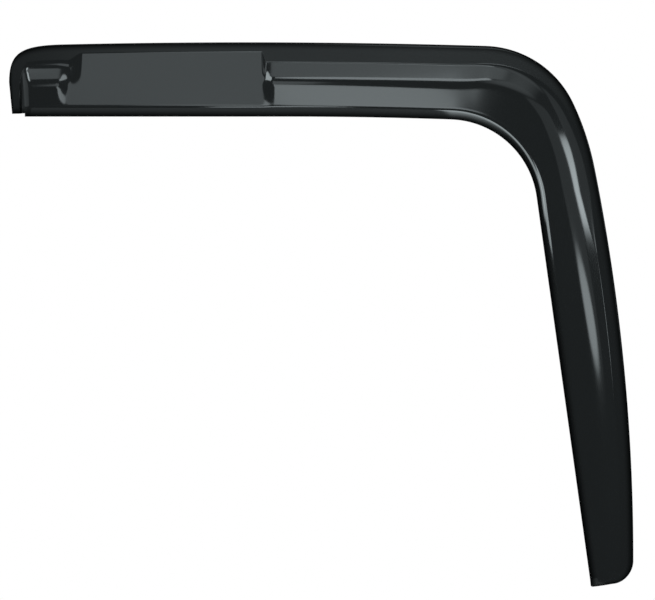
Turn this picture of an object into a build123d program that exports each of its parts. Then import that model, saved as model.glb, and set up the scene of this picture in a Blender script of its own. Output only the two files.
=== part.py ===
"""Window rain deflector for a side door: one thin moulded shell in the shape of an L.

X runs to the right along the top arm, Z is up and the outer face looks towards -Y.
The flange that is bonded to the door frame has its back on the plane Y = 0. The origin
is on that back, half way along the top arm and on the middle line of the bonding strip.
Millimetres.
"""
import os
from math import asin, atan2, cos, degrees, hypot, radians, sin, sqrt, tan

from build123d import *

os.makedirs("parts", exist_ok=True)

# Sheet
wall = 3.0
flange_edge_radius = 2.0
back_trim = 0.25
bond_line = 5.0

# Outer edge in plan: a slow crown over the top arm, the corner, and the bow of the leg
arm_length = 524.0
arm_width = 82.5
crown_radius = 8700.0
corner_radius = 110.0
corner_end_angle = 64.6
blend_radius = 304.0
blend_end_angle = 78.6
leg_bow_radius = 2170.0

# Free edge in plan: straight, a slight droop, the inner corner and the straight leg
droop_start = 44.0
droop_angle = 2.0
inner_radius = 98.0
corner_inset = 42.0
leg_lean = 8.0
leg_length = 433.0
tip_outer_radius = 22.0
tip_inner_radius = 2.0

# Wall section on the top arm: offsets go inward from the outer edge, heights stand out from Y = 0.
# Root and ridge are rounded over a share of the straight runs beside them.
flange_width = 22.0
ridge_offset = 42.5
ridge_height = 15.0
lip_width = 11.0
lip_height = 18.5
lip_angle = 36.0
lip_radius = 4.2
root_round_share = 0.08
ridge_round_share = 0.26

# The same section at the head of the leg and at its foot, where the ridge has faded
leg_flange_width = 14.5
leg_ridge_offset = 30.5
leg_ridge_height = 12.6
leg_lip_width = 9.0
leg_lip_height = 16.5
leg_lip_radius = 14.0
leg_root_round_share = 0.33
leg_ridge_round_share = 0.6
foot_ridge_place_share = 0.5
foot_ridge_height = 7.2
foot_lip_width = 7.0
foot_lip_height = 9.5
foot_lip_angle = 25.0
foot_lip_radius = 6.0
foot_root_round_share = 0.3
foot_ridge_round_share = 0.55

# Turned-down end of the leg
tip_length = 11.0
tip_ridge_height = 4.4
tip_lip_height = 4.9
tip_lip_angle = 9.0

# Flat panel set into the top arm, with a short ramp at each end and a slanting top left corner
panel_left = -195.0
panel_right = 16.0
ramp_length = 14.0
panel_corner_run = 12.0
panel_offset = 10.5
panel_crown = 0.9
panel_root_round_share = 0.02

# Left end: end wall leaning out from the flange, and the end flange with its rounded corner
end_flange_width = 11.2
end_wall_run = 7.0
end_root_round_share = 0.22
end_flange_rise = 3.4
end_flange_slant = 3.4
end_corner_run = 58.0
end_corner_drop = 40.0
end_corner_rise_handle = 31.0
end_corner_run_handle = 48.0

# Derived places
arm_half = arm_length / 2
crown_z = bond_line
free_edge_z = crown_z - arm_width
corner_x = arm_half - corner_inset
droop_radius = (corner_x - droop_start) / sin(radians(droop_angle)) + inner_radius
leg_heading = 90 - leg_lean
wall_foot_x = -arm_half + end_flange_width
wall_top_x = wall_foot_x + end_wall_run
cap_length = 2 * end_wall_run
cap_x = wall_foot_x + cap_length

free_edge_chain = (
    (droop_start - wall_foot_x, 0.0),
    (droop_radius * radians(droop_angle), droop_angle),
    (inner_radius * radians(leg_heading - droop_angle), leg_heading - droop_angle),
    (leg_length, 0.0),
)
droop_s = free_edge_chain[0][0]
corner_s = droop_s + free_edge_chain[1][0]
leg_s = corner_s + free_edge_chain[2][0]
end_s = leg_s + leg_length


def free_edge(s):
    """Plan point and heading (degrees below the X axis) at the distance s along the free edge."""
    x, z, heading = wall_foot_x, free_edge_z, 0.0
    for length, turn in free_edge_chain:
        step = min(max(s, 0.0), length)
        angle = radians(heading)
        if turn:
            radius = length / radians(turn)
            turned = angle + step / radius
            x += radius * (sin(turned) - sin(angle))
            z -= radius * (cos(angle) - cos(turned))
            heading = degrees(turned)
        else:
            x += step * cos(angle)
            z -= step * sin(angle)
        s -= length
    return x, z, heading


def outer_edge_arcs():
    """Centre, radius and last heading of each tangent arc of the outer edge."""
    crown_turn = degrees(asin(arm_half / crown_radius))
    arcs = [(0.0, crown_z - crown_radius, crown_radius, crown_turn)]
    for radius, turn in ((corner_radius, corner_end_angle), (blend_radius, blend_end_angle), (leg_bow_radius, 100.0)):
        x, z, last_radius, heading = arcs[-1]
        shift = last_radius - radius
        arcs.append((x + shift * sin(radians(heading)), z + shift * cos(radians(heading)), radius, turn))
    return arcs


def crown_height(x):
    """Height of the top arm's outer edge."""
    return crown_z - crown_radius + sqrt(crown_radius**2 - x**2)


def station(s):
    """Section plane square to the free edge at s, with its origin on the outer edge, and its width."""
    x, z, heading = free_edge(s)
    out_x, out_z = sin(radians(heading)), cos(radians(heading))
    width = 0.0
    first = -90.0
    for centre_x, centre_z, radius, last in outer_edge_arcs():
        dx, dz = x - centre_x, z - centre_z
        along = dx * out_x + dz * out_z
        root = along**2 - dx**2 - dz**2 + radius**2
        if root > 0:
            reach = sqrt(root) - along
            hit = degrees(atan2(dx + reach * out_x, dz + reach * out_z))
            if first <= hit <= last:
                width = reach
        first = last
    origin = (x + width * out_x, 0, z + width * out_z)
    inward = (-out_x, 0, -out_z)
    return Plane(origin=origin, x_dir=inward, z_dir=(-cos(radians(heading)), 0, sin(radians(heading)))), width


def blend(first, last, share):
    """Value that goes evenly from first to last."""
    return first + (last - first) * share


def ease(share):
    """Share that starts and ends gently."""
    return share**2 * (3 - 2 * share)


def offset_corner(before, corner, after):
    """Corner of the wall's inner line, one wall behind the corner of the outer line."""
    angle_in = atan2(corner[1] - before[1], corner[0] - before[0])
    angle_out = atan2(after[1] - corner[1], after[0] - corner[0])
    middle = (angle_in + angle_out) / 2
    depth = wall / cos((angle_out - angle_in) / 2)
    return corner[0] + depth * sin(middle), corner[1] - depth * cos(middle)


rim = ((0, -back_trim), (0, wall))


def outer_line(width, form):
    """Corners of the section's outer line from the flange's root to the end of the lip."""
    root, ridge, ridge_h, lip, lip_h, angle = form[:6]
    run = (lip - wall / 2 + wall / 2 * sin(radians(angle))) / cos(radians(angle))
    edge = (width - lip, lip_h)
    end = (edge[0] + run * cos(radians(angle)), lip_h - run * sin(radians(angle)))
    return (root, wall), (ridge, ridge_h), edge, end


def inner_line(points, angle):
    """Corners of the section's inner line from the end of the lip back to the flange's root."""
    root, ridge, edge, end = points
    back = (end[0] - wall * sin(radians(angle)), end[1] - wall * cos(radians(angle)))
    inner_ridge = offset_corner(root, ridge, edge)
    inner_root = offset_corner((0, wall), root, ridge)
    slope = (inner_ridge[0] - inner_root[0]) / (inner_ridge[1] - inner_root[1])
    foot = (inner_root[0] - back_trim * slope, -back_trim)
    return back, offset_corner(ridge, edge, end), inner_ridge, foot


def lip_tip(end, back, angle):
    """Outermost point of the lip's round edge."""
    reach = wall / 2
    return (
        (end[0] + back[0]) / 2 + reach * cos(radians(angle)),
        (end[1] + back[1]) / 2 - reach * sin(radians(angle)),
    )


def radii(points, form):
    """Radii of the section's outer line at the flange's rim, the root, the ridge and the lip."""
    root, ridge, edge, end = points
    root_share, ridge_share, lip_r = form[6:]
    shoulder = hypot(ridge[0] - root[0], ridge[1] - root[1])
    facet = hypot(edge[0] - ridge[0], edge[1] - ridge[1])
    shoulder_lean = atan2(ridge[1] - root[1], ridge[0] - root[0])
    facet_lean = atan2(edge[1] - ridge[1], edge[0] - ridge[0])
    root_r = root_share * shoulder / tan(shoulder_lean / 2)
    ridge_r = ridge_share * min(shoulder, facet) / tan((shoulder_lean - facet_lean) / 2)
    return flange_edge_radius, root_r, ridge_r, lip_r


def inner_radii(outer_radii):
    """Radii of the inner line, one wall behind the outer line, from the lip back to the root."""
    root_r, ridge_r, lip_r = outer_radii[-3:]
    return lip_r - wall, ridge_r - wall, root_r + wall


def wall_section(s, form):
    """Closed section of the thin wall at s: flange, shoulder, ridge, facet and lip with a round edge."""
    plane, width = station(s)
    angle = form[5]
    points = outer_line(width, form)
    behind = inner_line(points, angle)
    end, back = points[-1], behind[0]
    outer_radii = radii(points, form)
    with BuildSketch(plane) as section:
        with BuildLine():
            FilletPolyline(*rim, *points, radius=outer_radii)
            ThreePointArc(end, lip_tip(end, back, angle), back)
            FilletPolyline(*behind, rim[0], radius=inner_radii(outer_radii))
        make_face()
    return section.sketch


leg_end_s = end_s - tip_length
foot_face = station(leg_end_s)[1] - leg_flange_width - foot_lip_width
foot_ridge_offset = leg_flange_width + foot_ridge_place_share * foot_face

arm_form = (
    flange_width, ridge_offset, ridge_height, lip_width, lip_height, lip_angle,
    root_round_share, ridge_round_share, lip_radius,
)
end_form = arm_form[:6] + (end_root_round_share, ridge_round_share, lip_radius)
leg_form = (
    leg_flange_width, leg_ridge_offset, leg_ridge_height, leg_lip_width, leg_lip_height, lip_angle,
    leg_root_round_share, leg_ridge_round_share, leg_lip_radius,
)
foot_form = (
    leg_flange_width, foot_ridge_offset, foot_ridge_height, foot_lip_width, foot_lip_height, foot_lip_angle,
    foot_root_round_share, foot_ridge_round_share, foot_lip_radius,
)
tip_form = (
    leg_flange_width, foot_ridge_offset, tip_ridge_height, foot_lip_width, tip_lip_height, tip_lip_angle,
    foot_root_round_share, foot_ridge_round_share, foot_lip_radius,
)


def mix(first, last, share):
    """Section sizes part of the way from one form to the next."""
    return tuple(blend(a, b, share) for a, b in zip(first, last))


def panel_form(s):
    """Section sizes where the ridge gives way to the flat panel."""
    width = station(s)[1]
    share = (ridge_offset - panel_offset) / (width - lip_width - panel_offset)
    middle = blend(wall, lip_height, share) + panel_crown
    return (
        panel_offset, ridge_offset, middle, lip_width, lip_height, lip_angle,
        panel_root_round_share, ridge_round_share, lip_radius,
    )


def panel_corner_form(s):
    """Section sizes where the panel's slanting top left corner begins: the panel's ridge over the arm's flange."""
    return end_form[:1] + panel_form(s)[1:6] + end_form[6:]


def arm_s(x):
    """Distance along the free edge of a place on the straight part of the arm."""
    return x - wall_foot_x


def lofted(sections, ruled=False):
    """One stretch of the shell through its sections."""
    with BuildPart() as stretch:
        loft(sections=sections, ruled=ruled)
    return stretch.part


def left_cap():
    """Left end of the arm: a short hollow length of the section, closed by the leaning end wall."""
    plane, width = station(arm_s(cap_x))
    points = outer_line(width, end_form)
    behind = inner_line(points, lip_angle)
    end, tip, back = points[-1], lip_tip(points[-1], behind[0], lip_angle), behind[0]
    outer_radii = radii(points, end_form)
    lean = atan2(end_wall_run, lip_height - wall)
    inset = wall / cos(lean)
    with BuildPart() as hollow:
        with BuildSketch(plane):
            with BuildLine():
                FilletPolyline(*behind, rim[0], radius=inner_radii(outer_radii))
                Polyline(
                    rim[0], (0, -wall), (width + lip_width, -wall), (width + lip_width, end[1]), end
                )
                ThreePointArc(end, tip, back)
            make_face()
        extrude(amount=cap_length)
        split(bisect_by=end_wall_plane(inset), keep=Keep.TOP)
    with BuildPart() as cap:
        with BuildSketch(plane):
            with BuildLine():
                FilletPolyline(*rim, *points, radius=outer_radii)
                Polyline(end, (width, end[1]), (width, -back_trim), rim[0])
            make_face()
        extrude(amount=cap_length)
        split(bisect_by=end_wall_plane(0.0), keep=Keep.TOP)
        add(hollow.part, mode=Mode.SUBTRACT)
    return cap.part


def end_wall_plane(inset):
    """Leaning plane of the end wall, moved into the arm by the inset and facing along the arm."""
    return Plane(
        origin=(wall_foot_x + inset, -wall, 0),
        x_dir=(0, 0, 1),
        z_dir=(lip_height - wall, end_wall_run, 0),
    )


end_bottom_z = free_edge_z + end_flange_rise
end_corner_foot = (-arm_half, crown_height(-arm_half) - end_corner_drop)
end_corner_top = (-arm_half + end_corner_run, crown_height(-arm_half + end_corner_run))
crown_lean = asin((arm_half - end_corner_run) / crown_radius)
end_corner_curve = (
    end_corner_foot,
    (end_corner_foot[0], end_corner_foot[1] + end_corner_rise_handle),
    (
        end_corner_top[0] - end_corner_run_handle * cos(crown_lean),
        end_corner_top[1] - end_corner_run_handle * sin(crown_lean),
    ),
    end_corner_top,
)


def end_flange():
    """Flat flange beyond the end wall, before its top corner is rounded."""
    inside = wall_foot_x + wall / 2
    with BuildPart() as flange:
        with BuildSketch(Plane.XZ):
            with BuildLine():
                Polyline(
                    (-arm_half, crown_z), (inside, crown_z), (inside, end_bottom_z),
                    (-arm_half + end_flange_slant, end_bottom_z), end_corner_foot, close=True,
                )
            make_face()
        extrude(amount=wall)
    return flange.part


def corner_cut(corner, first, second, radius):
    """Waste outside a rounded plan corner, between two edges that leave it in the given directions."""
    corner, first, second = Vector(*corner), Vector(*first).normalized(), Vector(*second).normalized()
    half = radians(first.get_angle(second)) / 2
    run = radius / tan(half)
    start, finish = corner + first * run, corner + second * run
    apex = corner + (first + second).normalized() * (radius / sin(half) - radius)
    with BuildPart() as waste:
        with BuildSketch(Plane.XZ):
            with BuildLine():
                ThreePointArc(start, apex, finish)
                Polyline(finish, finish - first * radius, corner - (first + second) * radius,
                         start - second * radius, start)
            make_face()
        extrude(amount=lip_height, both=True)
    return waste.part


left_ramp, right_ramp = panel_left - ramp_length, panel_right + ramp_length
panel_full = panel_left + panel_corner_run
panel_middle = (panel_full + panel_right) / 2
left_end = wall_section(arm_s(cap_x), end_form)
ramp_up = wall_section(arm_s(left_ramp), end_form)
panel_corner = wall_section(arm_s(panel_left), panel_corner_form(arm_s(panel_left)))
panel_first = wall_section(arm_s(panel_full), panel_form(arm_s(panel_full)))
panel_mid = wall_section(arm_s(panel_middle), panel_form(arm_s(panel_middle)))
panel_last = wall_section(arm_s(panel_right), panel_form(arm_s(panel_right)))
ramp_down = wall_section(arm_s(right_ramp), arm_form)

run_sections = [ramp_down]
for share in (0.35, 0.7, 1.0):
    run_sections.append(wall_section(blend(arm_s(right_ramp), corner_s, share), arm_form))
bend_sections = [run_sections[-1]]
for step in range(1, 13):
    share = step / 12
    bend_sections.append(wall_section(blend(corner_s, leg_s, share), mix(arm_form, leg_form, ease(share))))
leg_sections = [bend_sections[-1]]
for step in range(1, 7):
    share = step / 6
    leg_sections.append(wall_section(blend(leg_s, leg_end_s, share), mix(leg_form, foot_form, share)))
tip_sections = [leg_sections[-1], wall_section(end_s, tip_form)]

end_plane = station(end_s)[0]
inner_tip = free_edge(end_s)
outer_tip = (end_plane.origin.X, end_plane.origin.Z)
before_plane = station(leg_end_s)[0]
up_outer = (before_plane.origin.X - outer_tip[0], before_plane.origin.Z - outer_tip[1])
up_inner = (-cos(radians(leg_heading)), sin(radians(leg_heading)))
across = (inner_tip[0] - outer_tip[0], inner_tip[1] - outer_tip[1])

with BuildPart() as deflector:
    add(left_cap())
    add(lofted([left_end, ramp_up], ruled=True))
    add(lofted([ramp_up, panel_corner], ruled=True))
    add(lofted([panel_corner, panel_first], ruled=True))
    add(lofted([panel_first, panel_mid, panel_last], ruled=True))
    add(lofted([panel_last, ramp_down], ruled=True))
    add(lofted(run_sections, ruled=True))
    add(lofted(bend_sections))
    add(lofted(leg_sections))
    add(lofted(tip_sections, ruled=True))
    add(end_flange())
    with BuildSketch(Plane.XZ):
        with BuildLine():
            Bezier(*end_corner_curve)
            Polyline(
                end_corner_top, (end_corner_top[0], crown_z + flange_width),
                (-arm_length, crown_z + flange_width), (-arm_length, end_corner_foot[1]), end_corner_foot,
            )
        make_face()
    extrude(amount=2 * wall, both=True, mode=Mode.SUBTRACT)
    with BuildSketch(Plane.XZ):
        with Locations((wall_top_x, end_bottom_z)):
            Rectangle(arm_width, arm_width, align=(Align.MAX, Align.MAX))
    extrude(amount=lip_height, both=True, mode=Mode.SUBTRACT)
    add(corner_cut(outer_tip, up_outer, across, tip_outer_radius), mode=Mode.SUBTRACT)
    add(corner_cut(inner_tip[:2], up_inner, (-across[0], -across[1]), tip_inner_radius), mode=Mode.SUBTRACT)
    with BuildSketch(Plane.XZ):
        Rectangle(4 * arm_length, 4 * arm_length)
    extrude(amount=-wall, mode=Mode.SUBTRACT)

deflector.part.label = "deflector_shell"
export_step(deflector.part, "parts/deflector_shell.step")
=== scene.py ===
"""Window rain deflector in smoked acrylic: shell surface, finish and studio stage."""
import math
from typing import NamedTuple

import bpy
import numpy as np
from bpy.props import FloatProperty, FloatVectorProperty, PointerProperty
from bpy.types import Operator, Panel, PropertyGroup
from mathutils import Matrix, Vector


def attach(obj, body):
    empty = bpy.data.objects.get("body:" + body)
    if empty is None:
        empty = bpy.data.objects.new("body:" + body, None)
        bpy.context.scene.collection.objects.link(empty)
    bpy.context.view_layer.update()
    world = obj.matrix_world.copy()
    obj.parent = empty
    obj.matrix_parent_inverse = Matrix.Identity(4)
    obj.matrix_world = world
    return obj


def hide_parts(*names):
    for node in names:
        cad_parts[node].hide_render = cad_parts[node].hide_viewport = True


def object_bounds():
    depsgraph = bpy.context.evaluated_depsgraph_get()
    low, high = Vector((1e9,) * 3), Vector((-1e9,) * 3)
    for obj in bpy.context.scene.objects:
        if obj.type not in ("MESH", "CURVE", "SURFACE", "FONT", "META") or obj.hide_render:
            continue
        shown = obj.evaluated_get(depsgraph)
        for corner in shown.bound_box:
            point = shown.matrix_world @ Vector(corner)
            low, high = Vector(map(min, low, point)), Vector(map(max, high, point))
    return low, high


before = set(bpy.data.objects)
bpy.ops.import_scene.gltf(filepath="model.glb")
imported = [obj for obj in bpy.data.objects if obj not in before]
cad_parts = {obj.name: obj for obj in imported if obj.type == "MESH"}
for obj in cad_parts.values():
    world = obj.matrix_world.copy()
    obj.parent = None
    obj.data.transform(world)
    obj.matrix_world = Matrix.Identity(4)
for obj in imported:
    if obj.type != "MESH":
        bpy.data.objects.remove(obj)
CAD_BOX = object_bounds()

bl_info = {
    "name": "Window Rain Deflector",
    "version": (1, 0, 0),
    "blender": (4, 5, 0),
    "location": "View3D > Sidebar > Deflector",
    "description": "Builds a smoked acrylic window deflector and its studio",
    "category": "Add Mesh",
}

MM = 0.001

# Heading past every heading of the outer edge, in radians
PAST_HEADINGS = 2.0
END_CORNER_POINTS = 400

# How far the close stations reach: ramp lengths past a ramp, runs of the panel's corner, metres past the
# bend, lengths of the tip, and walls past the end wall's top edge
RAMP_MARGIN = 0.25
PANEL_CORNER_STRETCH = 1.2
BEND_MARGIN = 30 * MM
TIP_STRETCH = 2.2
END_WALL_STRETCH = 3
# Stations at the end wall's top edge: half the gap between the two at the edge, and the first one past it
CREASE_GAP = 0.02 * MM
CREASE_STEP = 0.6 * MM

# Length of an eased ramp over that of the straight ramp that it stands for
RAMP_EASE = 1.3
# Power by which the section falls over the tip
TIP_CURVE = 1.6
# Points on each straight run and each arc of the section's two lines, in turn, and round the edge of the lip
OUTER_COUNTS = (2, 7, 10, 12, 16, 20, 12, 10, 7)
INNER_COUNTS = (6, 8, 9, 10, 8, 8, 8)
LIP_EDGE_COUNT = 10
# The end wall's plane holds the section down over this many of its runs, and only points as high as this
# share of the wall's thickness, so that the round front edge of the flange is left out
END_WALL_ZONE = 2
FLANGE_FACE = 0.999
# Share of the tip's outer corner that is cut, and the flange widths that are pressed together by a cut edge
TIP_CORNER_SHARE = 0.93
PRESSED_WIDTHS = 1.4
# Faces that meet at more than this angle keep a sharp edge
SHARP_ANGLE = math.radians(32.0)

CARD_INPUTS = ("Low", "High", "Power", "Core")


def length(name, description, default):
    """A length property, given in millimetres and kept in metres."""
    return FloatProperty(name=name, description=description, default=default * MM, unit="LENGTH")


def degrees(name, description, default):
    """An angle property, given in degrees and kept in radians."""
    return FloatProperty(name=name, description=description, default=math.radians(default), subtype="ANGLE")


def share(name, description, default):
    """A plain share, from 0 to 1."""
    return FloatProperty(name=name, description=description, default=default, subtype="FACTOR")


def number(name, description, default):
    """A plain number."""
    return FloatProperty(name=name, description=description, default=default)


def rgb(name, description, default):
    """A linear colour."""
    return FloatVectorProperty(name=name, description=description, default=default, subtype="COLOR", size=3)


class DeflectorPlan(PropertyGroup):
    """Plan outline, seen from outside."""

    arm_length: length("Arm length", "Crowned outer edge of the top arm", 524.0)
    arm_width: length("Arm width", "Outer edge to free edge in the middle of the arm", 82.5)
    bond_line: length("Bond line", "Outer edge to the middle of the bonding strip", 5.0)
    crown_radius: length("Crown radius", "Slow crown of the top edge", 8700.0)
    corner_radius: length("Corner radius", "Outer corner", 110.0)
    corner_turn: degrees("Corner turn", "Heading where the outer corner ends", 64.6)
    blend_radius: length("Blend radius", "Arc between the outer corner and the leg", 304.0)
    blend_turn: degrees("Blend turn", "Heading where the leg's bow begins", 78.6)
    leg_bow_radius: length("Leg bow radius", "Bow of the leg's outer edge", 2170.0)
    droop_start: length("Droop start", "Where the free edge starts to droop, from the arm's middle", 44.0)
    droop_angle: degrees("Droop angle", "Heading of the free edge at the inner corner", 2.0)
    inner_radius: length("Inner radius", "Inner corner of the free edge", 98.0)
    corner_inset: length("Corner inset", "Inner corner's centre, left of the outer corner's start", 42.0)
    leg_lean: degrees("Leg lean", "Lean of the leg's free edge from upright", 8.0)
    leg_length: length("Leg length", "Straight free edge of the leg", 433.0)
    tip_outer_radius: length("Outer tip radius", "Rounded outer corner of the tip", 22.0)
    tip_inner_radius: length("Inner tip radius", "Rounded inner corner of the tip", 2.0)
    end_flange_width: length("End flange width", "Flange beyond the left end wall", 11.2)
    end_flange_rise: length("End flange rise", "End flange's foot above the free edge", 3.4)
    end_flange_slant: length("End flange slant", "Lean of the left edge over its height", 3.4)
    end_corner_run: length("End corner run", "Rounded top left corner, along the arm", 58.0)
    end_corner_drop: length("End corner drop", "Rounded top left corner, down the end", 40.0)
    end_rise_handle: length("End rise handle", "Fullness of that corner at the end", 31.0)
    end_run_handle: length("End run handle", "Fullness of that corner on the arm", 48.0)


class DeflectorSection(PropertyGroup):
    """Wall section: offsets from the outer edge and heights from the bonding plane."""

    wall: length("Wall", "Thickness of the sheet", 3.0)
    flange_edge_radius: length("Flange edge radius", "Rounded front edge of the flange", 2.0)
    flange_width: length("Flange width", "Bonding flange", 22.0)
    ridge_offset: length("Ridge offset", "Outer edge to ridge on the arm", 44.0)
    ridge_height: length("Ridge height", "Ridge on the arm", 15.0)
    lip_width: length("Lip width", "Turned-in lip on the arm", 10.0)
    lip_height: length("Lip height", "Start of the lip on the arm", 18.5)
    lip_angle: degrees("Lip angle", "Fall of the lip", 36.0)
    lip_radius: length("Lip radius", "Rounding where the lip turns in", 4.2)
    root_round: share("Root rounding", "Share of the shoulder rounded at its root", 0.03)
    ridge_round: share("Ridge rounding", "Share of the shorter face rounded at the ridge", 0.26)
    leg_flange_width: length("Leg flange width", "Bonding flange on the leg", 14.5)
    leg_ridge_offset: length("Leg ridge offset", "Outer edge to ridge at the head of the leg", 32.8)
    leg_ridge_height: length("Leg ridge height", "Ridge at the head of the leg", 12.6)
    leg_lip_width: length("Leg lip width", "Lip at the head of the leg", 9.0)
    leg_lip_height: length("Leg lip height", "Start of the lip at the head of the leg", 16.5)
    leg_lip_radius: length("Leg lip radius", "Rounding of the lip at the head of the leg", 14.0)
    leg_root_round: share("Leg root rounding", "Root rounding at the head of the leg", 0.53)
    leg_ridge_round: share("Leg ridge rounding", "Ridge rounding at the head of the leg", 0.46)
    foot_ridge_place: share("Foot ridge place", "Place of the faded ridge across the foot's face", 0.5)
    foot_ridge_height: length("Foot ridge height", "Faded ridge at the foot", 7.2)
    foot_lip_width: length("Foot lip width", "Lip at the foot", 7.0)
    foot_lip_height: length("Foot lip height", "Start of the lip at the foot", 9.5)
    foot_lip_angle: degrees("Foot lip angle", "Fall of the lip at the foot", 25.0)
    foot_lip_radius: length("Foot lip radius", "Rounding of the lip at the foot", 6.0)
    foot_root_round: share("Foot root rounding", "Root rounding lower down the leg", 0.02)
    root_fade: share("Root fade", "Share of the leg over which its root turns crisp", 0.17)
    foot_ridge_round: share("Foot ridge rounding", "Ridge rounding at the foot", 0.55)
    tip_length: length("Tip length", "Turned-down end of the leg", 11.0)
    tip_ridge_height: length("Tip ridge height", "Ridge at the very end", 4.4)
    tip_lip_height: length("Tip lip height", "Lip start at the very end", 4.9)
    tip_lip_angle: degrees("Tip lip angle", "Fall of the lip at the very end", 9.0)
    panel_left: length("Panel left", "Left end of the flat panel", -195.0)
    panel_right: length("Panel right", "Right end of the flat panel", 16.0)
    ramp_length: length("Ramp length", "Ramp at each end of the panel", 12.5)
    panel_corner_run: length("Panel corner run", "Slanting top left corner of the panel", 12.0)
    panel_side_run: length("Panel side run", "Steep right edge of the panel, along the arm", 4.0)
    panel_offset: length("Panel offset", "Outer edge to the top of the panel", 10.5)
    panel_crown: length("Panel crown", "Fullness of the panel", 0.1)
    panel_root_round: share("Panel root rounding", "Root rounding along the top of the panel", 0.02)
    end_wall_run: length("End wall run", "Lean of the left end wall", 7.0)
    end_wall_soft: length("End wall softness", "Rounding over the end wall's edge", 20.0)
    end_root_round: share("End root rounding", "Root rounding between the end wall and the panel", 0.22)


class DeflectorFinish(PropertyGroup):
    """Smoked acrylic finish, with painted shade along the edges."""

    tint: rgb("Smoke tint", "Body colour of the acrylic", (0.0030, 0.0036, 0.0037))
    haze: rgb("Haze tint", "Body colour where the polish is faintly hazed", (0.0050, 0.0058, 0.0060))
    # Painted shade along every edge: this tint darkens the body colour in a band of the width below
    edge: rgb("Edge tint", "Body colour along the edges", (0.0006, 0.0007, 0.0007))
    edge_shade_width: length("Rim width", "Dulled band along every edge", 4.5)
    index: number("Index", "Index of refraction of acrylic", 1.49)
    gloss: share("Gloss", "Specular level of the face", 0.5)
    # Painted shade: a lower specular level at the very edge, so that the edges reflect less and look dark
    edge_shade_gloss: share("Rim gloss", "Specular level at the very edge", 0.04)
    polish: share("Polish", "Roughness of the polished face", 0.07)
    polish_spread: share("Polish spread", "Change of roughness over the face", 0.03)
    cloud_scale: number("Cloud scale", "Clouds of haze in a metre", 9.0)
    cloud_detail: number("Cloud detail", "Finer layers in the clouds", 4.0)
    ripple_scale: number("Ripple scale", "Ripples of the surface in a metre", 38.0)
    ripple_detail: number("Ripple detail", "Finer layers in the ripples", 1.0)
    ripple_strength: share("Ripple strength", "Strength of the ripples", 0.02)
    ripple_height: length("Ripple height", "Height of the ripples at full strength", 1.0)


class StudioStage(PropertyGroup):
    """Studio around the part."""

    paper: rgb("Paper", "Floor and backdrop", (0.90, 0.90, 0.90))
    paper_shade: share("Paper shade", "Level of the floor's faint clouds against the paper", 0.97)
    paper_clouds: number("Paper clouds", "Clouds of the floor in a metre", 3.0)
    surround: number("Surround", "Level of the room", 0.25)
    glow: rgb("Glow", "Colour of the soft boxes and the room", (0.89, 1.0, 1.03))
    distance: length("Camera distance", "Camera to the bonding plane", 2700.0)
    camera_x: length("Camera right", "Camera right of the middle of the arm", 87.9)
    camera_z: length("Camera rise", "Camera above the middle of the bonding strip", -278.4)
    field: length("Field width", "Width of the view at the bonding plane", 720.5)
    floor_drop: length("Floor drop", "Floor below the tip of the leg", 200.0)
    floor_front: length("Floor front", "Floor in front of the bonding plane", 150.0)
    backdrop_half: length("Backdrop half width", "Half of the backdrop's width", 2000.0)
    backdrop_depth: length("Backdrop depth", "Backdrop behind the bonding plane", 1250.0)
    backdrop_top: length("Backdrop top", "Top of the backdrop above the bonding strip", 1000.0)


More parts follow.
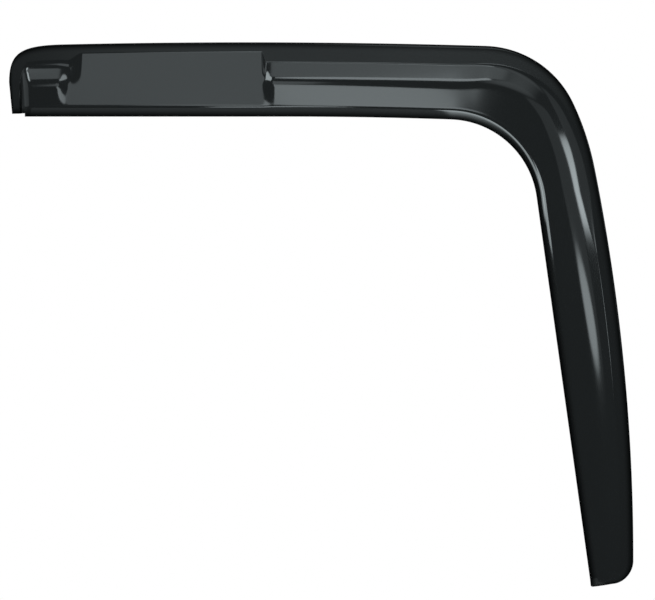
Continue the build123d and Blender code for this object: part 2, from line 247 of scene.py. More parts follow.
class Plan:
    """Plan curves as numpy functions of the distance along the free edge."""

    def __init__(self, plan):
        self.plan = plan
        self.half = plan.arm_length / 2
        self.crown_z = plan.bond_line
        self.edge_z = self.crown_z - plan.arm_width
        self.foot_x = -self.half + plan.end_flange_width
        heading = math.pi / 2 - plan.leg_lean
        corner_x = self.half - plan.corner_inset
        droop_radius = (corner_x - plan.droop_start) / math.sin(plan.droop_angle) + plan.inner_radius
        self.pieces = (
            (plan.droop_start - self.foot_x, 0.0),
            (droop_radius * plan.droop_angle, plan.droop_angle),
            (plan.inner_radius * (heading - plan.droop_angle), heading - plan.droop_angle),
            (plan.leg_length, 0.0),
        )
        self.corner_s = self.pieces[0][0] + self.pieces[1][0]
        self.leg_s = self.corner_s + self.pieces[2][0]
        self.end_s = self.leg_s + self.pieces[3][0]

    def free_edge(self, s):
        """Straight, slow arc, corner arc, straight: each piece adds its own chord to the point before it."""
        x = np.full_like(s, self.foot_x) + np.minimum(s, 0.0)
        z = np.full_like(s, self.edge_z)
        angle = np.zeros_like(s)
        left = s.copy()
        for run, turn in self.pieces:
            step = np.clip(left, 0.0, run)
            if turn:
                radius = run / turn
                turned = angle + step / radius
                x = x + radius * (np.sin(turned) - np.sin(angle))
                z = z - radius * (np.cos(angle) - np.cos(turned))
                angle = turned
            else:
                x = x + step * np.cos(angle)
                z = z - step * np.sin(angle)
            left = left - run
        return x, z, angle

    def arcs(self):
        """Centre, radius and last heading of the outer edge's tangent arcs."""
        plan = self.plan
        crown_end = math.asin(self.half / plan.crown_radius)
        arcs = [(0.0, self.crown_z - plan.crown_radius, plan.crown_radius, crown_end)]
        for radius, turn in (
            (plan.corner_radius, plan.corner_turn),
            (plan.blend_radius, plan.blend_turn),
            (plan.leg_bow_radius, PAST_HEADINGS),
        ):
            x, z, last, heading = arcs[-1]
            shift = last - radius
            arcs.append((x + shift * math.sin(heading), z + shift * math.cos(heading), radius, turn))
        return arcs

    def width(self, s):
        """Distance from the free edge to the outer edge, square to the free edge: a line meets each arc."""
        x, z, angle = self.free_edge(s)
        out_x, out_z = np.sin(angle), np.cos(angle)
        width = np.zeros_like(s)
        first = -PAST_HEADINGS
        for centre_x, centre_z, radius, last in self.arcs():
            dx, dz = x - centre_x, z - centre_z
            along = dx * out_x + dz * out_z
            reach = np.sqrt(np.maximum(along**2 - dx**2 - dz**2 + radius**2, 0.0)) - along
            hit = np.arctan2(dx + reach * out_x, dz + reach * out_z)
            width = np.where((hit >= first) & (hit <= last), reach, width)
            first = last
        return width

    def crown(self, x):
        """Height of the top edge over x: a circle of the crown radius."""
        radius = self.plan.crown_radius
        return self.crown_z - radius + np.sqrt(radius**2 - x**2)

    def end_corner(self):
        """Rounded top left corner: a cubic curve from the end's edge to the crown, as fine points."""
        plan = self.plan
        top_x = -self.half + plan.end_corner_run
        top_z = self.crown(top_x)
        lean = math.asin(-top_x / plan.crown_radius)
        foot = np.array([-self.half, self.crown(-self.half) - plan.end_corner_drop])
        top = np.array([top_x, top_z])
        rise = foot + np.array([0.0, plan.end_rise_handle])
        back = top - plan.end_run_handle * np.array([math.cos(lean), math.sin(lean)])
        t = np.linspace(0.0, 1.0, END_CORNER_POINTS)[:, None]
        return (1 - t) ** 3 * foot + 3 * t * (1 - t) ** 2 * rise + 3 * t**2 * (1 - t) * back + t**3 * top


def stations(plan, section):
    """Places along the free edge, close together where the shape changes quickly."""
    def run(first, last, count):
        return np.linspace(first, last, count, endpoint=False)

    crease = section.end_wall_run
    past_wall = crease + END_WALL_STRETCH * section.wall
    left, right = section.panel_left - plan.foot_x, section.panel_right - plan.foot_x
    ramp = section.ramp_length
    ramp_start, ramp_end = left - ramp * (1 + RAMP_MARGIN), right + ramp * (1 + RAMP_MARGIN)
    panel_start = left + section.panel_corner_run * PANEL_CORNER_STRETCH
    panel_end = right - ramp * RAMP_MARGIN
    bend_start, bend_end = plan.corner_s - BEND_MARGIN, plan.leg_s + BEND_MARGIN
    tip = plan.end_s - section.tip_length * TIP_STRETCH
    quarter = math.pi / 2
    return np.concatenate((
        -plan.plan.end_flange_width * np.cos(run(0.0, quarter, count=22)),
        run(0.0, crease - CREASE_GAP, count=14),
        np.array([crease - CREASE_GAP, crease + CREASE_GAP]),
        run(crease + CREASE_STEP, past_wall, count=10),
        run(past_wall, ramp_start, count=10),
        run(ramp_start, panel_start, count=46),
        run(panel_start, panel_end, count=30),
        run(panel_end, ramp_end, count=48),
        run(ramp_end, bend_start, count=36),
        run(bend_start, bend_end, count=84),
        run(bend_end, tip, count=90),
        tip + (plan.end_s - tip) * np.sin(np.linspace(0.0, quarter, 44)),
    ))


def smooth(t):
    """Curve from 0 to 1 that starts and ends level: three times t squared, less two times t cubed."""
    return t * t * (3 - 2 * t)


def soft_step(x):
    """Step from 0 to 1 that is eased in and out, a little longer than the unit ramp that it stands for."""
    return smooth(np.clip(0.5 + (x - 0.5) / RAMP_EASE, 0.0, 1.0))


def soft_lower(a, b, k):
    """Lower of two heights, rounded over k where they cross."""
    h = np.clip(0.5 + 0.5 * (b - a) / k, 0.0, 1.0)
    return b + (a - b) * h - k * h * (1 - h)


def section_sizes(plan, g, s):
    """The section's sizes at every place, mixed between those of the arm, the head of the leg, foot and tip.

    The mix changes smoothly round the corner, evenly down the leg and by a power over the tip.
    """
    foot_s = plan.end_s - g.tip_length
    foot_face = plan.width(np.array([foot_s]))[0] - g.leg_flange_width - g.foot_lip_width
    foot_ridge = g.leg_flange_width + g.foot_ridge_place * foot_face
    corner = np.clip((s - plan.corner_s) / (plan.leg_s - plan.corner_s), 0.0, 1.0)
    leg = np.clip((s - plan.leg_s) / (foot_s - plan.leg_s), 0.0, 1.0)
    tip = np.clip((s - foot_s) / g.tip_length, 0.0, 1.0) ** TIP_CURVE

    def law(arm, head, foot, end):
        value = arm + (head - arm) * smooth(corner)
        value = value + (foot - value) * leg
        return value + (end - value) * tip

    at_end = s + plan.foot_x < g.panel_left + g.panel_corner_run
    root_round = law(g.root_round, g.leg_root_round, g.leg_root_round, g.leg_root_round)
    root_round = root_round + (g.foot_root_round - root_round) * np.clip(leg / g.root_fade, 0.0, 1.0)
    return {
        "width": plan.width(s),
        "root": law(g.flange_width, g.leg_flange_width, g.leg_flange_width, g.leg_flange_width),
        "ridge": law(g.ridge_offset, g.leg_ridge_offset, foot_ridge, foot_ridge),
        "ridge_h": law(g.ridge_height, g.leg_ridge_height, g.foot_ridge_height, g.tip_ridge_height),
        "lip": law(g.lip_width, g.leg_lip_width, g.foot_lip_width, g.foot_lip_width),
        "lip_h": law(g.lip_height, g.leg_lip_height, g.foot_lip_height, g.tip_lip_height),
        "angle": law(g.lip_angle, g.lip_angle, g.foot_lip_angle, g.tip_lip_angle),
        "lip_r": law(g.lip_radius, g.leg_lip_radius, g.foot_lip_radius, g.foot_lip_radius),
        "root_round": np.where(at_end, g.end_root_round, root_round),
        "ridge_round": law(g.ridge_round, g.leg_ridge_round, g.foot_ridge_round, g.foot_ridge_round),
    }


def let_in_panel(plan, g, s, sizes):
    """The same sizes with the flat panel let into the arm.

    Over the ramp at each end the ridge sinks to the panel, and the root moves out to the panel's upper edge.
    At the left end the root moves later, which gives the panel its slanting corner, and at the right end it
    moves at once.
    """
    x = s + plan.foot_x
    past_left, to_right = x - g.panel_left, g.panel_right - x
    sunk = soft_step(past_left / g.ramp_length + 1) * soft_step(to_right / g.ramp_length + 1)
    out = soft_step(past_left / g.panel_corner_run) * soft_step(to_right / g.panel_side_run + 1)
    along = (sizes["ridge"] - g.panel_offset) / (sizes["width"] - sizes["lip"] - g.panel_offset)
    middle = g.wall + (sizes["lip_h"] - g.wall) * along + g.panel_crown
    return {
        **sizes,
        "root": sizes["root"] + (g.panel_offset - sizes["root"]) * out,
        "ridge_h": sizes["ridge_h"] + (middle - sizes["ridge_h"]) * sunk,
        "root_round": sizes["root_round"] + (g.panel_root_round - sizes["root_round"]) * out,
    }


def rounded_line(corners, radii, counts):
    """Line through the corners with each inner corner turned into an arc.

    corners are (places, 2) arrays. An arc leaves its corner by radius times the tangent of half the turn.
    counts gives the points on each straight run and on each arc, in turn.
    """
    def unit(a, b):
        step = b - a
        return step / np.linalg.norm(step, axis=1, keepdims=True)

    rows = []
    start = corners[0]
    for i in range(1, len(corners) - 1):
        before, after = unit(corners[i - 1], corners[i]), unit(corners[i], corners[i + 1])
        turn = np.arctan2(
            before[:, 0] * after[:, 1] - before[:, 1] * after[:, 0], (before * after).sum(axis=1)
        )
        reach = (radii[i - 1] * np.tan(np.abs(turn) / 2))[:, None]
        enter, leave = corners[i] - before * reach, corners[i] + after * reach
        t = np.linspace(0.0, 1.0, counts[2 * i - 2], endpoint=False)[None, :, None]
        rows.append(start[:, None] * (1 - t) + enter[:, None] * t)
        normal = np.stack((-before[:, 1], before[:, 0]), axis=1) * np.sign(turn)[:, None]
        t = np.linspace(0.0, 1.0, counts[2 * i - 1], endpoint=False)[None, :] * np.abs(turn)[:, None]
        arc = before[:, None] * np.sin(t)[..., None] + normal[:, None] * (1 - np.cos(t))[..., None]
        rows.append(enter[:, None] + radii[i - 1][:, None, None] * arc)
        start = leave
    t = np.linspace(0.0, 1.0, counts[-1])[None, :, None]
    rows.append(start[:, None] * (1 - t) + corners[-1][:, None] * t)
    return np.concatenate(rows, axis=1)


def offset_corner(before, corner, after, wall):
    """Corner of the inner line, one wall behind the outer line, on the bisector of its two runs."""
    into = np.arctan2(corner[:, 1] - before[:, 1], corner[:, 0] - before[:, 0])
    out = np.arctan2(after[:, 1] - corner[:, 1], after[:, 0] - corner[:, 0])
    middle, depth = (into + out) / 2, wall / np.cos((out - into) / 2)
    return np.stack((corner[:, 0] + depth * np.sin(middle), corner[:, 1] - depth * np.cos(middle)), axis=1)


def section_loop(g, sizes):
    """Closed section at every place: outer line, round edge of the lip, inner line.

    Outer and inner line are polylines with rounded corners: flange, shoulder, facet and lip. The first column
    is the offset from the outer edge and the second one the height over the bonding plane. Returns the points
    as (places, loop, 2), and how many of them are on the outer line and on the round edge.
    """
    wall = g.wall
    root, ridge, ridge_h, lip_h = (sizes[name] for name in ("root", "ridge", "ridge_h", "lip_h"))
    edge, angle = sizes["width"] - sizes["lip"], sizes["angle"]
    zero = np.zeros_like(root)

    def pair(a, b):
        return np.stack((a + zero, b + zero), axis=1)

    run = (sizes["lip"] - wall / 2 + wall / 2 * np.sin(angle)) / np.cos(angle)
    rim0, rim1, p_root, p_ridge, p_edge = (
        pair(0.0, 0.0), pair(0.0, wall), pair(root, wall), pair(ridge, ridge_h), pair(edge, lip_h)
    )
    p_end = p_edge + run[:, None] * pair(np.cos(angle), -np.sin(angle))
    p_back = p_end - wall * pair(np.sin(angle), np.cos(angle))
    shoulder, facet = np.hypot(ridge - root, ridge_h - wall), np.hypot(edge - ridge, lip_h - ridge_h)
    lean, facet_lean = np.arctan2(ridge_h - wall, ridge - root), np.arctan2(lip_h - ridge_h, edge - ridge)
    root_r = sizes["root_round"] * shoulder / np.tan(lean / 2)
    ridge_r = sizes["ridge_round"] * np.minimum(shoulder, facet) / np.tan((lean - facet_lean) / 2)
    lip_r = sizes["lip_r"]
    outer = rounded_line(
        (rim0, rim1, p_root, p_ridge, p_edge, p_end),
        (g.flange_edge_radius + zero, root_r, ridge_r, lip_r),
        OUTER_COUNTS,
    )
    inner = rounded_line(
        (p_back, offset_corner(p_ridge, p_edge, p_end, wall), offset_corner(p_root, p_ridge, p_edge, wall),
         offset_corner(rim1, p_root, p_ridge, wall), rim0),
        (lip_r - wall, ridge_r - wall, root_r + wall),
        INNER_COUNTS,
    )[:, :-1]
    turn = np.linspace(0.0, math.pi, LIP_EDGE_COUNT)[None, 1:-1, None]
    middle, half = (p_end + p_back) / 2, (p_end - p_back) / 2
    along = pair(np.cos(angle), -np.sin(angle)) * wall / 2
    rounded = middle[:, None] + half[:, None] * np.cos(turn) + along[:, None] * np.sin(turn)
    return np.concatenate((outer, rounded, inner), axis=1), outer.shape[1], rounded.shape[1]


def hold_under_end_wall(plan, g, x, loop, outer, rounded):
    """Left end: both lines stay under a leaning plane, the inner one a wall behind the outer one."""
    wall = g.wall
    rise = (g.lip_height - wall) / g.end_wall_run
    inset = wall / math.cos(math.atan(1 / rise))
    near = x < plan.foot_x + END_WALL_ZONE * (g.end_wall_run + inset)
    plane = wall + (x - plan.foot_x) * rise
    front, edge, back = np.split(loop, (outer, outer + rounded), axis=1)
    front_h, back_h = front[..., 1], back[..., 1]
    held = np.maximum(soft_lower(front_h, plane, g.end_wall_soft), wall)
    front_h = np.where(near & (front_h >= wall * FLANGE_FACE), held, front_h)
    behind = np.clip(np.minimum(back_h, plane - inset * rise), 0.0, None)
    back_h = np.where(near, behind, back_h)
    t = np.linspace(0.0, 1.0, rounded + 2)[None, 1:-1]
    solid = x < plan.foot_x + g.end_wall_run
    edge_h = np.where(solid, front_h[:, -1:] * (1 - t) + back_h[:, :1] * t, edge[..., 1])
    edge_d = np.where(solid, front[:, -1:, 0] * (1 - t) + back[:, :1, 0] * t, edge[..., 0])
    offsets = np.concatenate((front[..., 0], edge_d, back[..., 0]), axis=1)
    return offsets, np.concatenate((front_h, edge_h, back_h), axis=1)


def trim_ends(plan, g, s, d, sizes):
    """Offsets pressed together between the trimmed outer edge and the trimmed free edge.

    The outer edge is trimmed by the rounded top left corner and the rounded outer corner of the tip. The free
    edge is trimmed by the step under the end wall and the rounded inner corner of the tip.
    Returns the offsets and their distance from the nearest edge, which is halved at the two long edges.
    """
    sketch = plan.plan
    x, left = s + plan.foot_x, np.clip(plan.end_s - s, 0.0, None)

    def corner(radius):
        cut = radius - np.sqrt(np.maximum(radius**2 - (radius - left) ** 2, 0.0))
        return np.where(left < radius, cut, 0.0)

    curve = plan.end_corner()
    corner_z = np.interp(x, curve[:, 0], curve[:, 1])
    start = np.where(x < curve[-1, 0], plan.crown(np.clip(x, -plan.half, plan.half)) - corner_z, 0.0)
    start = (start + TIP_CORNER_SHARE * corner(sketch.tip_outer_radius))[:, None]
    width, lip = sizes["width"][:, None], sizes["lip"][:, None]
    step = np.where(x < plan.foot_x + g.end_wall_run, sketch.end_flange_rise, 0.0)
    last = width - (step + corner(sketch.tip_inner_radius))[:, None]
    edge = width - lip
    d = np.where(d > edge, edge + (d - edge) * (last - edge) / (width - edge), d)
    pressed = np.where((x < plan.foot_x)[:, None], last, PRESSED_WIDTHS * g.flange_width)
    d = np.where(d < pressed, start + d * (pressed - start) / pressed, d)
    ends = np.minimum(x + plan.half, left)[:, None]
    return d, np.minimum(np.minimum((d - start) / 2, (last - d) / 2), ends)


def shell_grid(plan, g):
    """Closed wall section carried along the free edge: points (places, loop, 3) and their edge distance."""
    s = stations(plan, g)
    x = (s + plan.foot_x)[:, None]
    sizes = let_in_panel(plan, g, s, section_sizes(plan, g, s))
    loop, outer, rounded = section_loop(g, sizes)
    d, h = hold_under_end_wall(plan, g, x, loop, outer, rounded)
    d, edge = trim_ends(plan, g, s, d, sizes)
    px, pz, heading = (v[:, None] for v in plan.free_edge(s))
    reach = sizes["width"][:, None] - d
    z = pz + reach * np.cos(heading)
    sketch = plan.plan
    beyond = np.clip(1 - (x + plan.half) / sketch.end_flange_width, 0.0, 1.0)
    foot_z = plan.crown(np.array(-plan.half)) - sketch.end_corner_drop
    low = np.clip((foot_z - z) / (foot_z - plan.edge_z - sketch.end_flange_rise), 0.0, 1.0)
    slant = sketch.end_flange_slant * beyond * low
    return np.stack((px + reach * np.sin(heading) + slant, -h, z), axis=2), edge


def grid_mesh(name, points):
    """Mesh of a grid that closes across its second direction, with a face over each end."""
    places, around = points.shape[:2]
    row = np.arange(places - 1)[:, None] * around
    col = np.arange(around)[None]
    after = (col + 1) % around
    corners = (row + col, row + after, row + around + after, row + around + col)
    quads = np.stack(corners, axis=2).reshape(-1, 4)
    first_end, last_end = np.arange(around)[::-1], (places - 1) * around + np.arange(around)
    loops = np.concatenate((quads.ravel(), first_end, last_end))
    starts = np.concatenate((np.arange(len(quads)) * 4, len(quads) * 4 + np.array([0, around])))
    mesh = bpy.data.meshes.new(name)
    mesh.vertices.add(places * around)
    mesh.vertices.foreach_set("co", points.reshape(-1).astype(np.float32))
    mesh.loops.add(len(loops))
    mesh.loops.foreach_set("vertex_index", loops.astype(np.int32))
    mesh.polygons.add(len(starts))
    mesh.polygons.foreach_set("loop_start", starts.astype(np.int32))
    mesh.update(calc_edges=True)
    mesh.validate()
    mesh.shade_smooth()
    mesh.set_sharp_from_angle(angle=SHARP_ANGLE)
    return mesh


def new_nodes(nodes, *kinds):
    """New nodes of these kinds, in turn."""
    return [nodes.new(kind) for kind in kinds]


def new_material(name):
    """New node material, with its nodes, its links and its shader."""
    material = bpy.data.materials.new(name)
    material.use_nodes = True
    tree = material.node_tree
    return material, tree.nodes, tree.links, tree.nodes["Principled BSDF"]


def new_group(name, inputs, outputs):
    """New shader node group with plain number sockets, and the nodes at which it starts and ends."""
    group = bpy.data.node_groups.new(name, "ShaderNodeTree")
    for side, sockets in (("INPUT", inputs), ("OUTPUT", outputs)):
        for socket in sockets:
            group.interface.new_socket(socket, in_out=side, socket_type="NodeSocketFloat")
    return group, *new_nodes(group.nodes, "NodeGroupInput", "NodeGroupOutput")


def polish_group(finish):
    """Node group: faint uneven polish, as a mask, a roughness and a height, over Object coordinates."""
    group, entry, leave = new_group("uneven_polish", ("Roughness", "Spread"), ("Mask", "Roughness", "Height"))
    links = group.links
    place, cloud, ripple, spread = new_nodes(
        group.nodes, "ShaderNodeTexCoord", "ShaderNodeTexNoise", "ShaderNodeTexNoise", "ShaderNodeMath"
    )
    cloud.inputs["Scale"].default_value = finish.cloud_scale
    cloud.inputs["Detail"].default_value = finish.cloud_detail
    ripple.inputs["Scale"].default_value = finish.ripple_scale
    ripple.inputs["Detail"].default_value = finish.ripple_detail
    spread.operation = "MULTIPLY_ADD"
    links.new(place.outputs["Object"], cloud.inputs["Vector"])
    links.new(place.outputs["Object"], ripple.inputs["Vector"])
    links.new(cloud.outputs["Fac"], spread.inputs[0])
    links.new(entry.outputs["Spread"], spread.inputs[1])
    links.new(entry.outputs["Roughness"], spread.inputs[2])
    links.new(cloud.outputs["Fac"], leave.inputs["Mask"])
    links.new(spread.outputs[0], leave.inputs["Roughness"])
    links.new(ripple.outputs["Fac"], leave.inputs["Height"])
    return group


def acrylic(finish):
    """Smoked acrylic: near-black glossy body, uneven in tint and polish, with painted shade along the edges:
    a darker body colour and a lower specular level there.
    """
    material, nodes, links, shader = new_material("smoked_acrylic")
    shader.inputs["IOR"].default_value = finish.index
    polish, tint, edge_shade_mix, rim, gloss, bump = new_nodes(
        nodes, "ShaderNodeGroup", "ShaderNodeMix", "ShaderNodeMix",
        "ShaderNodeAttribute", "ShaderNodeMapRange", "ShaderNodeBump",
    )
    polish.node_tree = polish_group(finish)
    polish.inputs["Roughness"].default_value = finish.polish
    polish.inputs["Spread"].default_value = finish.polish_spread
    tint.data_type = edge_shade_mix.data_type = "RGBA"
    tint.inputs["A"].default_value = (*finish.tint, 1.0)
    tint.inputs["B"].default_value = (*finish.haze, 1.0)
    edge_shade_mix.inputs["B"].default_value = (*finish.edge, 1.0)
    rim.attribute_name = "rim"
    gloss.inputs["To Min"].default_value = finish.gloss
    gloss.inputs["To Max"].default_value = finish.edge_shade_gloss
    bump.inputs["Strength"].default_value = finish.ripple_strength
    bump.inputs["Distance"].default_value = finish.ripple_height
    links.new(polish.outputs["Mask"], tint.inputs["Factor"])
    # Painted shade: the rim attribute darkens the body colour towards the edge tint and lowers the specular
    # level
    links.new(rim.outputs["Fac"], edge_shade_mix.inputs["Factor"])
    links.new(tint.outputs["Result"], edge_shade_mix.inputs["A"])
    links.new(edge_shade_mix.outputs["Result"], shader.inputs["Base Color"])
    links.new(rim.outputs["Fac"], gloss.inputs["Value"])
    links.new(gloss.outputs["Result"], shader.inputs["Specular IOR Level"])
    links.new(polish.outputs["Roughness"], shader.inputs["Roughness"])
    links.new(polish.outputs["Height"], bump.inputs["Height"])
    links.new(bump.outputs["Normal"], shader.inputs["Normal"])
    return material


class DEFLECTOR_OT_shell(Operator):
    """Build the deflector's shell in place of its solid and give it the acrylic finish, with painted shade
    along its edges
    """

    bl_idname = "deflector.shell"
    bl_label = "Deflector shell"

    def execute(self, context):
        scene = context.scene
        section = scene.deflector_section
        points, edge = shell_grid(Plan(scene.deflector_plan), section)
        mesh = grid_mesh("deflector_face", points)
        # Painted shade along every edge: 1 at the edge, fading to 0 over a set width in from it
        painted_edge_shade = smooth(1 - np.clip(edge / scene.deflector_finish.edge_shade_width, 0.0, 1.0)).astype(np.float32)
        mesh.attributes.new("rim", "FLOAT", "POINT").data.foreach_set("value", painted_edge_shade.ravel())
        mesh.materials.append(acrylic(scene.deflector_finish))
        piece = bpy.data.objects.new("deflector_face", mesh)
        scene.collection.objects.link(piece)
        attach(piece, "root")
        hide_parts("deflector_shell")
        return {"FINISHED"}


def one_sided(material, shader):
    """Let a stage sheet be seen through from behind."""
    nodes, links = material.node_tree.nodes, material.node_tree.links
    side, clear, mix = new_nodes(
        nodes, "ShaderNodeNewGeometry", "ShaderNodeBsdfTransparent", "ShaderNodeMixShader"
    )
    links.new(side.outputs["Backfacing"], mix.inputs[0])
    links.new(shader.outputs[0], mix.inputs[1])
    links.new(clear.outputs[0], mix.inputs[2])
    links.new(mix.outputs[0], nodes["Material Output"].inputs["Surface"])


def backdrop_material(stage):
    """Matt paper that rays from the camera, and mirrored or refracted rays, see as plain white."""
    material, nodes, links, shader = new_material("backdrop_paper")
    shader.inputs["Base Color"].default_value = (*stage.paper, 1.0)
    shader.inputs["Specular IOR Level"].default_value = 0.0
    path, glow, mix, mirrored, seen = new_nodes(
        nodes, "ShaderNodeLightPath", "ShaderNodeEmission", "ShaderNodeMixShader",
        "ShaderNodeMath", "ShaderNodeMath",
    )
    mirrored.operation = seen.operation = "MAXIMUM"
    links.new(path.outputs["Is Glossy Ray"], mirrored.inputs[0])
    links.new(path.outputs["Is Transmission Ray"], mirrored.inputs[1])
    links.new(path.outputs["Is Camera Ray"], seen.inputs[0])
    links.new(mirrored.outputs[0], seen.inputs[1])
    links.new(seen.outputs[0], mix.inputs[0])
    links.new(shader.outputs[0], mix.inputs[1])
    links.new(glow.outputs[0], mix.inputs[2])
    one_sided(material, mix)
    return material


def floor_material(stage):
    """Matt pale floor with a faint cloudiness."""
    material, nodes, links, shader = new_material("floor_paper")
    shader.inputs["Specular IOR Level"].default_value = 0.0
    place, cloud, mix = new_nodes(nodes, "ShaderNodeTexCoord", "ShaderNodeTexNoise", "ShaderNodeMix")
    cloud.inputs["Scale"].default_value = stage.paper_clouds
    mix.data_type = "RGBA"
    mix.inputs["A"].default_value = (*stage.paper, 1.0)
    mix.inputs["B"].default_value = (*(stage.paper_shade * v for v in stage.paper), 1.0)
    links.new(place.outputs["Object"], cloud.inputs["Vector"])
    links.new(cloud.outputs["Fac"], mix.inputs["Factor"])
    links.new(mix.outputs["Result"], shader.inputs["Base Color"])
    one_sided(material, shader)
    return material


def soft_card_group():
    """Node group: level of a glowing card over its UV map.

    With x and y from -1 to 1 over the card, x to the power p plus y to the power p is 1 at the rim: p of 2
    gives an ellipse and a larger p a rounded rectangle. The level fades out between the core and the rim, and
    is graded from the lower to the upper side.
    """
    group, entry, leave = new_group("soft_card", CARD_INPUTS, ("Level",))
    nodes, links = group.nodes, group.links
    place, centre, size, split, full = new_nodes(
        nodes, "ShaderNodeUVMap", "ShaderNodeVectorMath", "ShaderNodeVectorMath",
        "ShaderNodeSeparateXYZ", "ShaderNodeSeparateXYZ",
    )
    centre.operation, size.operation = "MULTIPLY_ADD", "ABSOLUTE"
    centre.inputs[1].default_value = (2.0, 2.0, 0.0)
    centre.inputs[2].default_value = (-1.0, -1.0, 0.0)
    across, up, total, level = new_nodes(nodes, *["ShaderNodeMath"] * 4)
    across.operation = up.operation = "POWER"
    level.operation = "MULTIPLY"
    fall, grade = new_nodes(nodes, "ShaderNodeMapRange", "ShaderNodeMapRange")
    fall.interpolation_type = "SMOOTHSTEP"
    fall.inputs["From Min"].default_value = 1.0
    links.new(place.outputs["UV"], centre.inputs[0])
    links.new(place.outputs["UV"], full.inputs[0])
    links.new(centre.outputs[0], size.inputs[0])
    links.new(size.outputs[0], split.inputs[0])
    for power, axis in ((across, "X"), (up, "Y")):
        links.new(split.outputs[axis], power.inputs[0])
        links.new(entry.outputs["Power"], power.inputs[1])
    links.new(across.outputs[0], total.inputs[0])
    links.new(up.outputs[0], total.inputs[1])
    links.new(total.outputs[0], fall.inputs["Value"])
    links.new(entry.outputs["Core"], fall.inputs["From Max"])
    links.new(full.outputs["Y"], grade.inputs["Value"])
    links.new(entry.outputs["Low"], grade.inputs["To Min"])
    links.new(entry.outputs["High"], grade.inputs["To Max"])
    links.new(fall.outputs["Result"], level.inputs[0])
    links.new(grade.outputs["Result"], level.inputs[1])
    links.new(level.outputs[0], leave.inputs["Level"])
    return group


def card_material(box, colour, group):
    """Glowing sheer cloth of a soft box."""
    material, nodes, links, shader = new_material(box.name)
    nodes.remove(shader)
    card, glow, clear, both = new_nodes(
        nodes, "ShaderNodeGroup", "ShaderNodeEmission", "ShaderNodeBsdfTransparent", "ShaderNodeAddShader"
    )
    card.node_tree = group
    for socket, value in zip(CARD_INPUTS, (*box.levels, box.power, box.core)):
        card.inputs[socket].default_value = value
    glow.inputs["Color"].default_value = (*colour, 1.0)
    links.new(card.outputs["Level"], glow.inputs["Strength"])
    links.new(glow.outputs[0], both.inputs[0])
    links.new(clear.outputs[0], both.inputs[1])
    links.new(both.outputs[0], nodes["Material Output"].inputs["Surface"])
    return material


class SoftBox(NamedTuple):
    """Where a glowing card stands, and how it glows.

    aim gives the degrees to the right and up from the part's outward direction -Y, seen from the target, and
    size the degrees that the card spans, across and up. levels are those at its lower and upper side. reach
    is the distance in metres. power and core shape the soft rim, and lean slants the left and right sides,
    in degrees.
    """

    name: str
    target: tuple
    aim: tuple
    size: tuple
    levels: tuple
    reach: float = 1.6
    power: float = 4.0
    core: float = 0.3
    lean: float = 0.0


def soft_box(scene, group, box):
    """Glowing card that faces the part."""
    angle = math.hypot(*box.aim)
    side, rise = (math.sin(math.radians(angle)) * v / angle for v in box.aim)
    out = np.array([side, -math.cos(math.radians(angle)), rise])
    across = np.cross((0.0, 0.0, 1.0), out)
    across = across / np.linalg.norm(across)
    up = np.cross(out, across) - math.tan(math.radians(box.lean)) * across
    half = [box.reach * math.tan(math.radians(v) / 2) for v in box.size]
    signs = np.array([(-1, -1), (1, -1), (1, 1), (-1, 1)])
    centre = np.array(box.target) + box.reach * out
    corners = centre + signs[:, :1] * half[0] * across + signs[:, 1:] * half[1] * up
    mesh = bpy.data.meshes.new(box.name)
    mesh.from_pydata(corners.tolist(), [], [(0, 1, 2, 3)])
    mesh.uv_layers.new(name="card").data.foreach_set("uv", ((signs + 1) / 2).astype(np.float32).ravel())
    mesh.materials.append(card_material(box, scene.deflector_stage.glow, group))
    card = bpy.data.objects.new(box.name, mesh)
    card.visible_camera = False
    scene.collection.objects.link(card)


def sheet(scene, name, corners, material):
    """Flat stage sheet."""
    mesh = bpy.data.meshes.new(name)
    mesh.from_pydata(corners, [], [(0, 1, 2, 3)])
    mesh.materials.append(material)
    piece = bpy.data.objects.new(name, mesh)
    scene.collection.objects.link(piece)


def set_paper(scene, stage):
    """Pale floor under the part and backdrop behind it."""
    low, high = CAD_BOX
    ground, top = low[2] - stage.floor_drop, stage.backdrop_top
    half, front, back = stage.backdrop_half, -stage.floor_front, stage.backdrop_depth
    floor = [(-half, front, ground), (half, front, ground), (half, back, ground), (-half, back, ground)]
    sheet(scene, "floor", floor, floor_material(stage))
    middle = (low[0] + high[0]) / 2
    left, right = middle - half, middle + half
    backdrop = [(left, back, ground), (right, back, ground), (right, back, top), (left, back, top)]
    sheet(scene, "backdrop", backdrop, backdrop_material(stage))


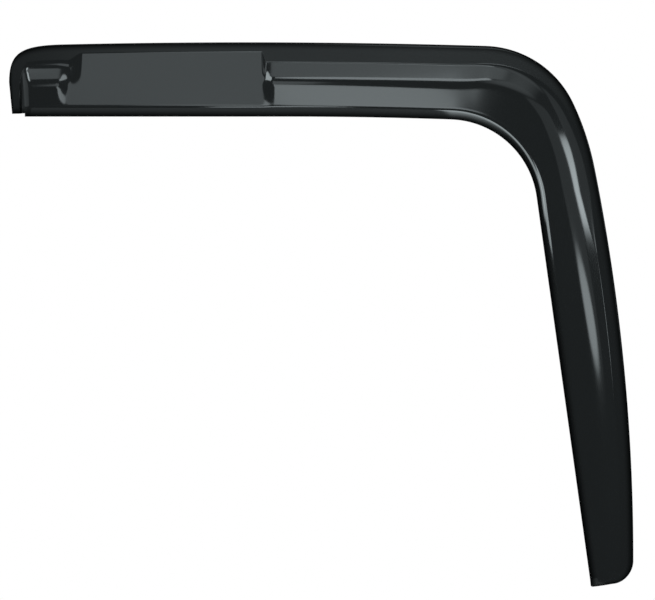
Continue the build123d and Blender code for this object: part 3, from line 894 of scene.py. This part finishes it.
def set_soft_boxes(scene):
    """Soft boxes, each aimed at a place on the front of the part's box."""
    low, high = CAD_BOX
    left, right = low[0], high[0]

    def place(x, below):
        """Point on the front of the box, at x and this many millimetres below its top."""
        return x, low[1], high[2] - below * MM

    arm = place((left + right) / 2, below=55)
    end = place(left + 20 * MM, below=40)
    ramp = place(scene.deflector_section.panel_right + 6 * MM, below=35)
    lip = place(right - 90 * MM, below=205)
    corner = place(right - 100 * MM, below=130)
    leg = place(right - 60 * MM, below=250)
    inner_bend = place(right - 132 * MM, below=107)
    group = soft_card_group()
    for box in (
        SoftBox("key", arm, aim=(1, 20), size=(14.5, 21), levels=(4.2, 3.0), core=0.5, lean=42),
        SoftBox("fill", arm, aim=(-9.5, 36), size=(18.5, 13), levels=(1.3, 1.3), core=0.7),
        SoftBox("ceiling", arm, aim=(0, 76), size=(60, 32), levels=(1.25, 1.25), core=0.5),
        SoftBox("strip", arm, aim=(7.5, 57), size=(20, 10), levels=(4.3, 4.3), core=0.5),
        SoftBox("front", arm, aim=(-1, 7), size=(40, 15), levels=(0.4, 0.4), power=2, core=0.1),
        SoftBox("bounce", arm, aim=(0, -62), size=(60, 44), levels=(0.35, 0.35), power=2, core=0.1),
        SoftBox("spot", ramp, aim=(-27, 51), size=(12, 18), levels=(7, 7), reach=0.25, core=0.4),
        SoftBox("hook", end, aim=(-27, 58), size=(28, 16), levels=(8, 8), reach=0.6, power=2),
        SoftBox("left", end, aim=(-76, 22), size=(60, 46), levels=(0.5, 0.5), power=2),
        SoftBox("bend", corner, aim=(22, 50), size=(40, 30), levels=(0.6, 1.0), power=2, core=0.1),
        SoftBox("upper_right", corner, aim=(40, 14), size=(32, 44), levels=(0.35, 0.35), core=0.5),
        SoftBox("right", leg, aim=(71, 24), size=(44, 18), levels=(10, 6)),
        SoftBox("right_front", leg, aim=(35, 0.5), size=(25, 10), levels=(4.7, 4.7), power=2, core=0.4),
        SoftBox("lip_glow", lip, aim=(-38, -1), size=(27, 16), levels=(7, 7), reach=0.5, core=0.4),
        SoftBox("lip_low", inner_bend, aim=(-35, -44), size=(24, 34), levels=(7, 7), reach=0.12, power=2),
    ):
        soft_box(scene, group, box)


def set_room(scene, stage):
    """Plain dim room, in the colour of the soft boxes."""
    world = bpy.data.worlds.new("room")
    world.use_nodes = True
    room = world.node_tree.nodes["Background"]
    room.inputs["Color"].default_value = (*(stage.surround * v for v in stage.glow), 1.0)
    scene.world = world


def set_camera(scene, stage):
    """Camera square to the bonding plane."""
    camera = bpy.data.objects.new("camera", bpy.data.cameras.new("camera"))
    camera.data.lens = camera.data.sensor_width * stage.distance / stage.field
    camera.location = (stage.camera_x, -stage.distance, stage.camera_z)
    camera.rotation_euler = (math.pi / 2, 0.0, 0.0)
    scene.collection.objects.link(camera)
    scene.camera = camera


class DEFLECTOR_OT_stage(Operator):
    """Set the floor, backdrop, soft boxes, room and camera"""

    bl_idname = "deflector.stage"
    bl_label = "Studio stage"

    def execute(self, context):
        scene = context.scene
        stage = scene.deflector_stage
        set_paper(scene, stage)
        set_soft_boxes(scene)
        set_room(scene, stage)
        set_camera(scene, stage)
        scene.view_settings.view_transform = "Standard"
        return {"FINISHED"}


class DEFLECTOR_PT_panel(Panel):
    """Sidebar list of the deflector's operators and sizes"""

    bl_idname = "DEFLECTOR_PT_panel"
    bl_label = "Window rain deflector"
    bl_space_type = "VIEW_3D"
    bl_region_type = "UI"
    bl_category = "Deflector"

    def draw(self, context):
        layout = self.layout
        layout.operator(DEFLECTOR_OT_shell.bl_idname)
        layout.operator(DEFLECTOR_OT_stage.bl_idname)
        for group in (
            context.scene.deflector_plan, context.scene.deflector_section,
            context.scene.deflector_finish, context.scene.deflector_stage,
        ):
            box = layout.box()
            for name in group.bl_rna.properties.keys():
                if name not in {"rna_type", "name"}:
                    box.prop(group, name)


CLASSES = (
    DeflectorPlan, DeflectorSection, DeflectorFinish, StudioStage,
    DEFLECTOR_OT_shell, DEFLECTOR_OT_stage, DEFLECTOR_PT_panel,
)


def register():
    for cls in CLASSES:
        bpy.utils.register_class(cls)
    bpy.types.Scene.deflector_plan = PointerProperty(type=DeflectorPlan)
    bpy.types.Scene.deflector_section = PointerProperty(type=DeflectorSection)
    bpy.types.Scene.deflector_finish = PointerProperty(type=DeflectorFinish)
    bpy.types.Scene.deflector_stage = PointerProperty(type=StudioStage)


def unregister():
    for name in ("deflector_plan", "deflector_section", "deflector_finish", "deflector_stage"):
        delattr(bpy.types.Scene, name)
    for cls in reversed(CLASSES):
        bpy.utils.unregister_class(cls)


def main():
    register()
    bpy.ops.deflector.shell()
    bpy.ops.deflector.stage()


if __name__ == "__main__":
    main()
